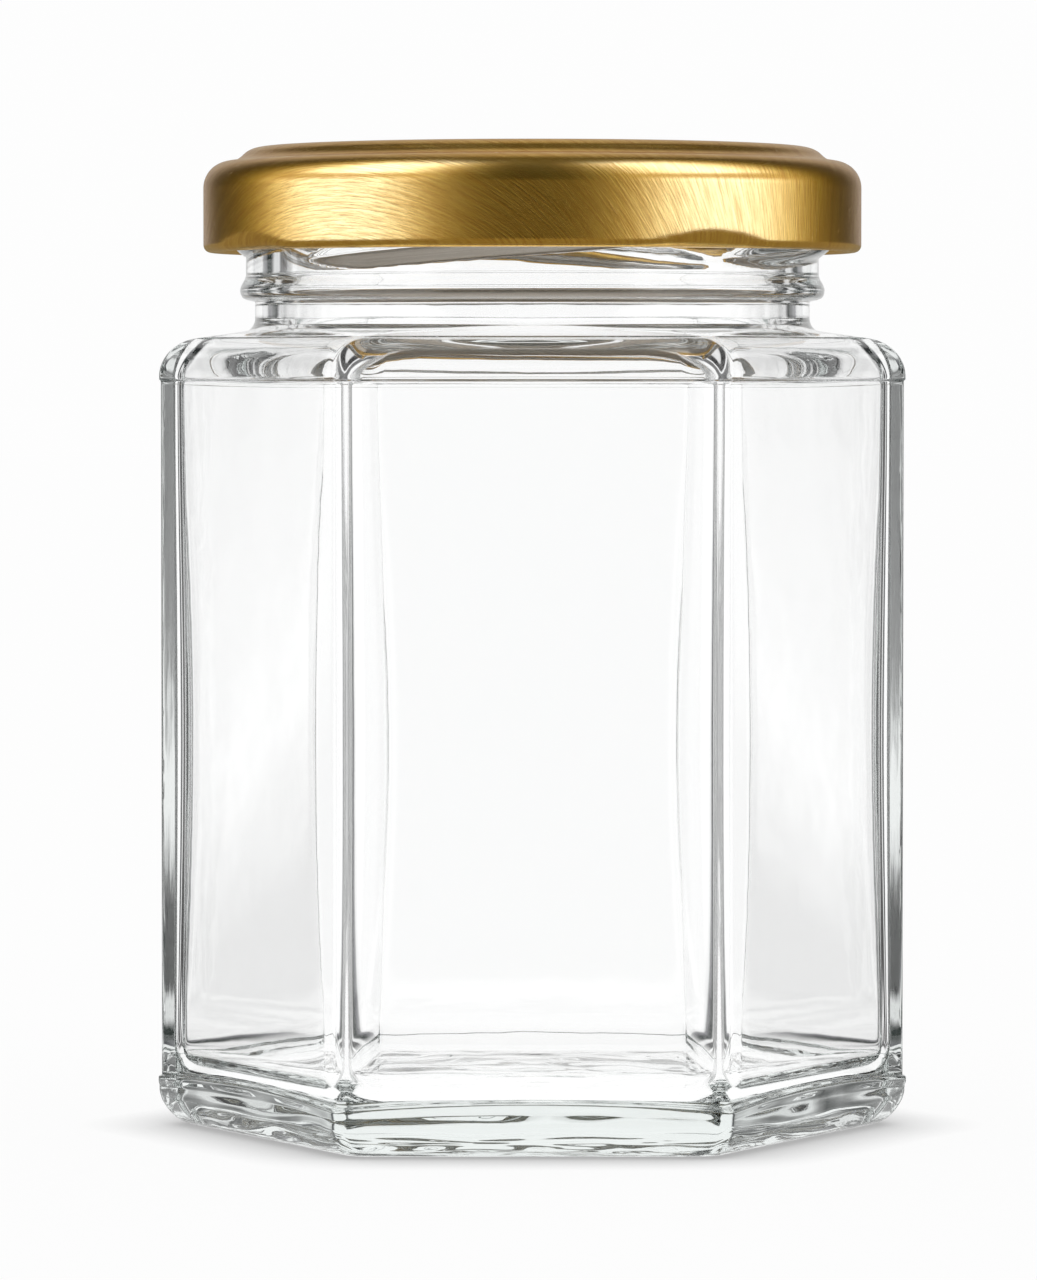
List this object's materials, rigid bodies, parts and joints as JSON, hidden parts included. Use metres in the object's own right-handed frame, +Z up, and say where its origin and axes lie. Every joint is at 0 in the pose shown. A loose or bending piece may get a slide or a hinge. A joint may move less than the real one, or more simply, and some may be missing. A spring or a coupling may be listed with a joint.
{
  "type": "jam jar",
  "caption": "Hexagonal clear glass jam jar, empty, with a round threaded neck and a satin gold twist-off lid.",
  "frame": {"origin": "middle of the foot, on the surface that the jar stands on", "axes": "+Z up along the jar's axis; one flat side faces -Y, and two opposite corners lie on the X axis"},
  "size_m": [0.076, 0.0666, 0.099],
  "materials": {
    "clear_glass": "clear flint glass, polished, faintly grey-green through the thick edges",
    "gold_lacquer": "satin gold lacquer over fine-grained tinplate"
  },
  "bodies": {
    "root": {"jar": "clear_glass", "lid": "gold_lacquer"}
  },
  "joints": []
}
